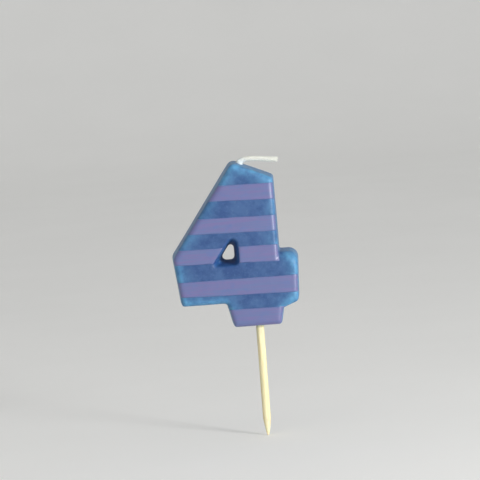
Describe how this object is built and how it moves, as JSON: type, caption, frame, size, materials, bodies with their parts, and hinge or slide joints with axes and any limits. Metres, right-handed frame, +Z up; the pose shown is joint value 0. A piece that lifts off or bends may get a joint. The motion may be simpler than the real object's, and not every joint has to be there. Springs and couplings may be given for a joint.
{
  "type": "number candle",
  "caption": "Cast wax candle in the shape of the numeral 4, with printed stripes on its face, a bendable cotton wick at the top and a pointed wooden pick below.",
  "frame": {"origin": "where the pick's axis meets the underside of the foot, halfway through the wax", "axes": "+Z up along the candle and the pick, the numeral's face looks along -Y, +X is the reader's right"},
  "size_m": [0.0335, 0.0091, 0.0746],
  "materials": {
    "blue_wax": "satin cast wax",
    "lavender_film": "smooth printed film",
    "waxed_cotton": "waxed braid",
    "pale_wood": "plain turned wood"
  },
  "bodies": {
    "candle": {"wax_body": "blue_wax", "stripe_1": "lavender_film", "stripe_2": "lavender_film", "stripe_3_left": "lavender_film", "stripe_3_right": "lavender_film", "stripe_4": "lavender_film", "stripe_5": "lavender_film", "wick_core": "waxed_cotton", "pick": "pale_wood"},
    "wick": {"wick_tip": "waxed_cotton"}
  },
  "joints": [
    {"name": "wick_bend", "type": "hinge", "parent": "candle", "child": "wick", "pos_m": [-0.00222, 0, 0.0441], "axis": [0, -1, 0], "range_deg": [-8, 135]}
  ]
}
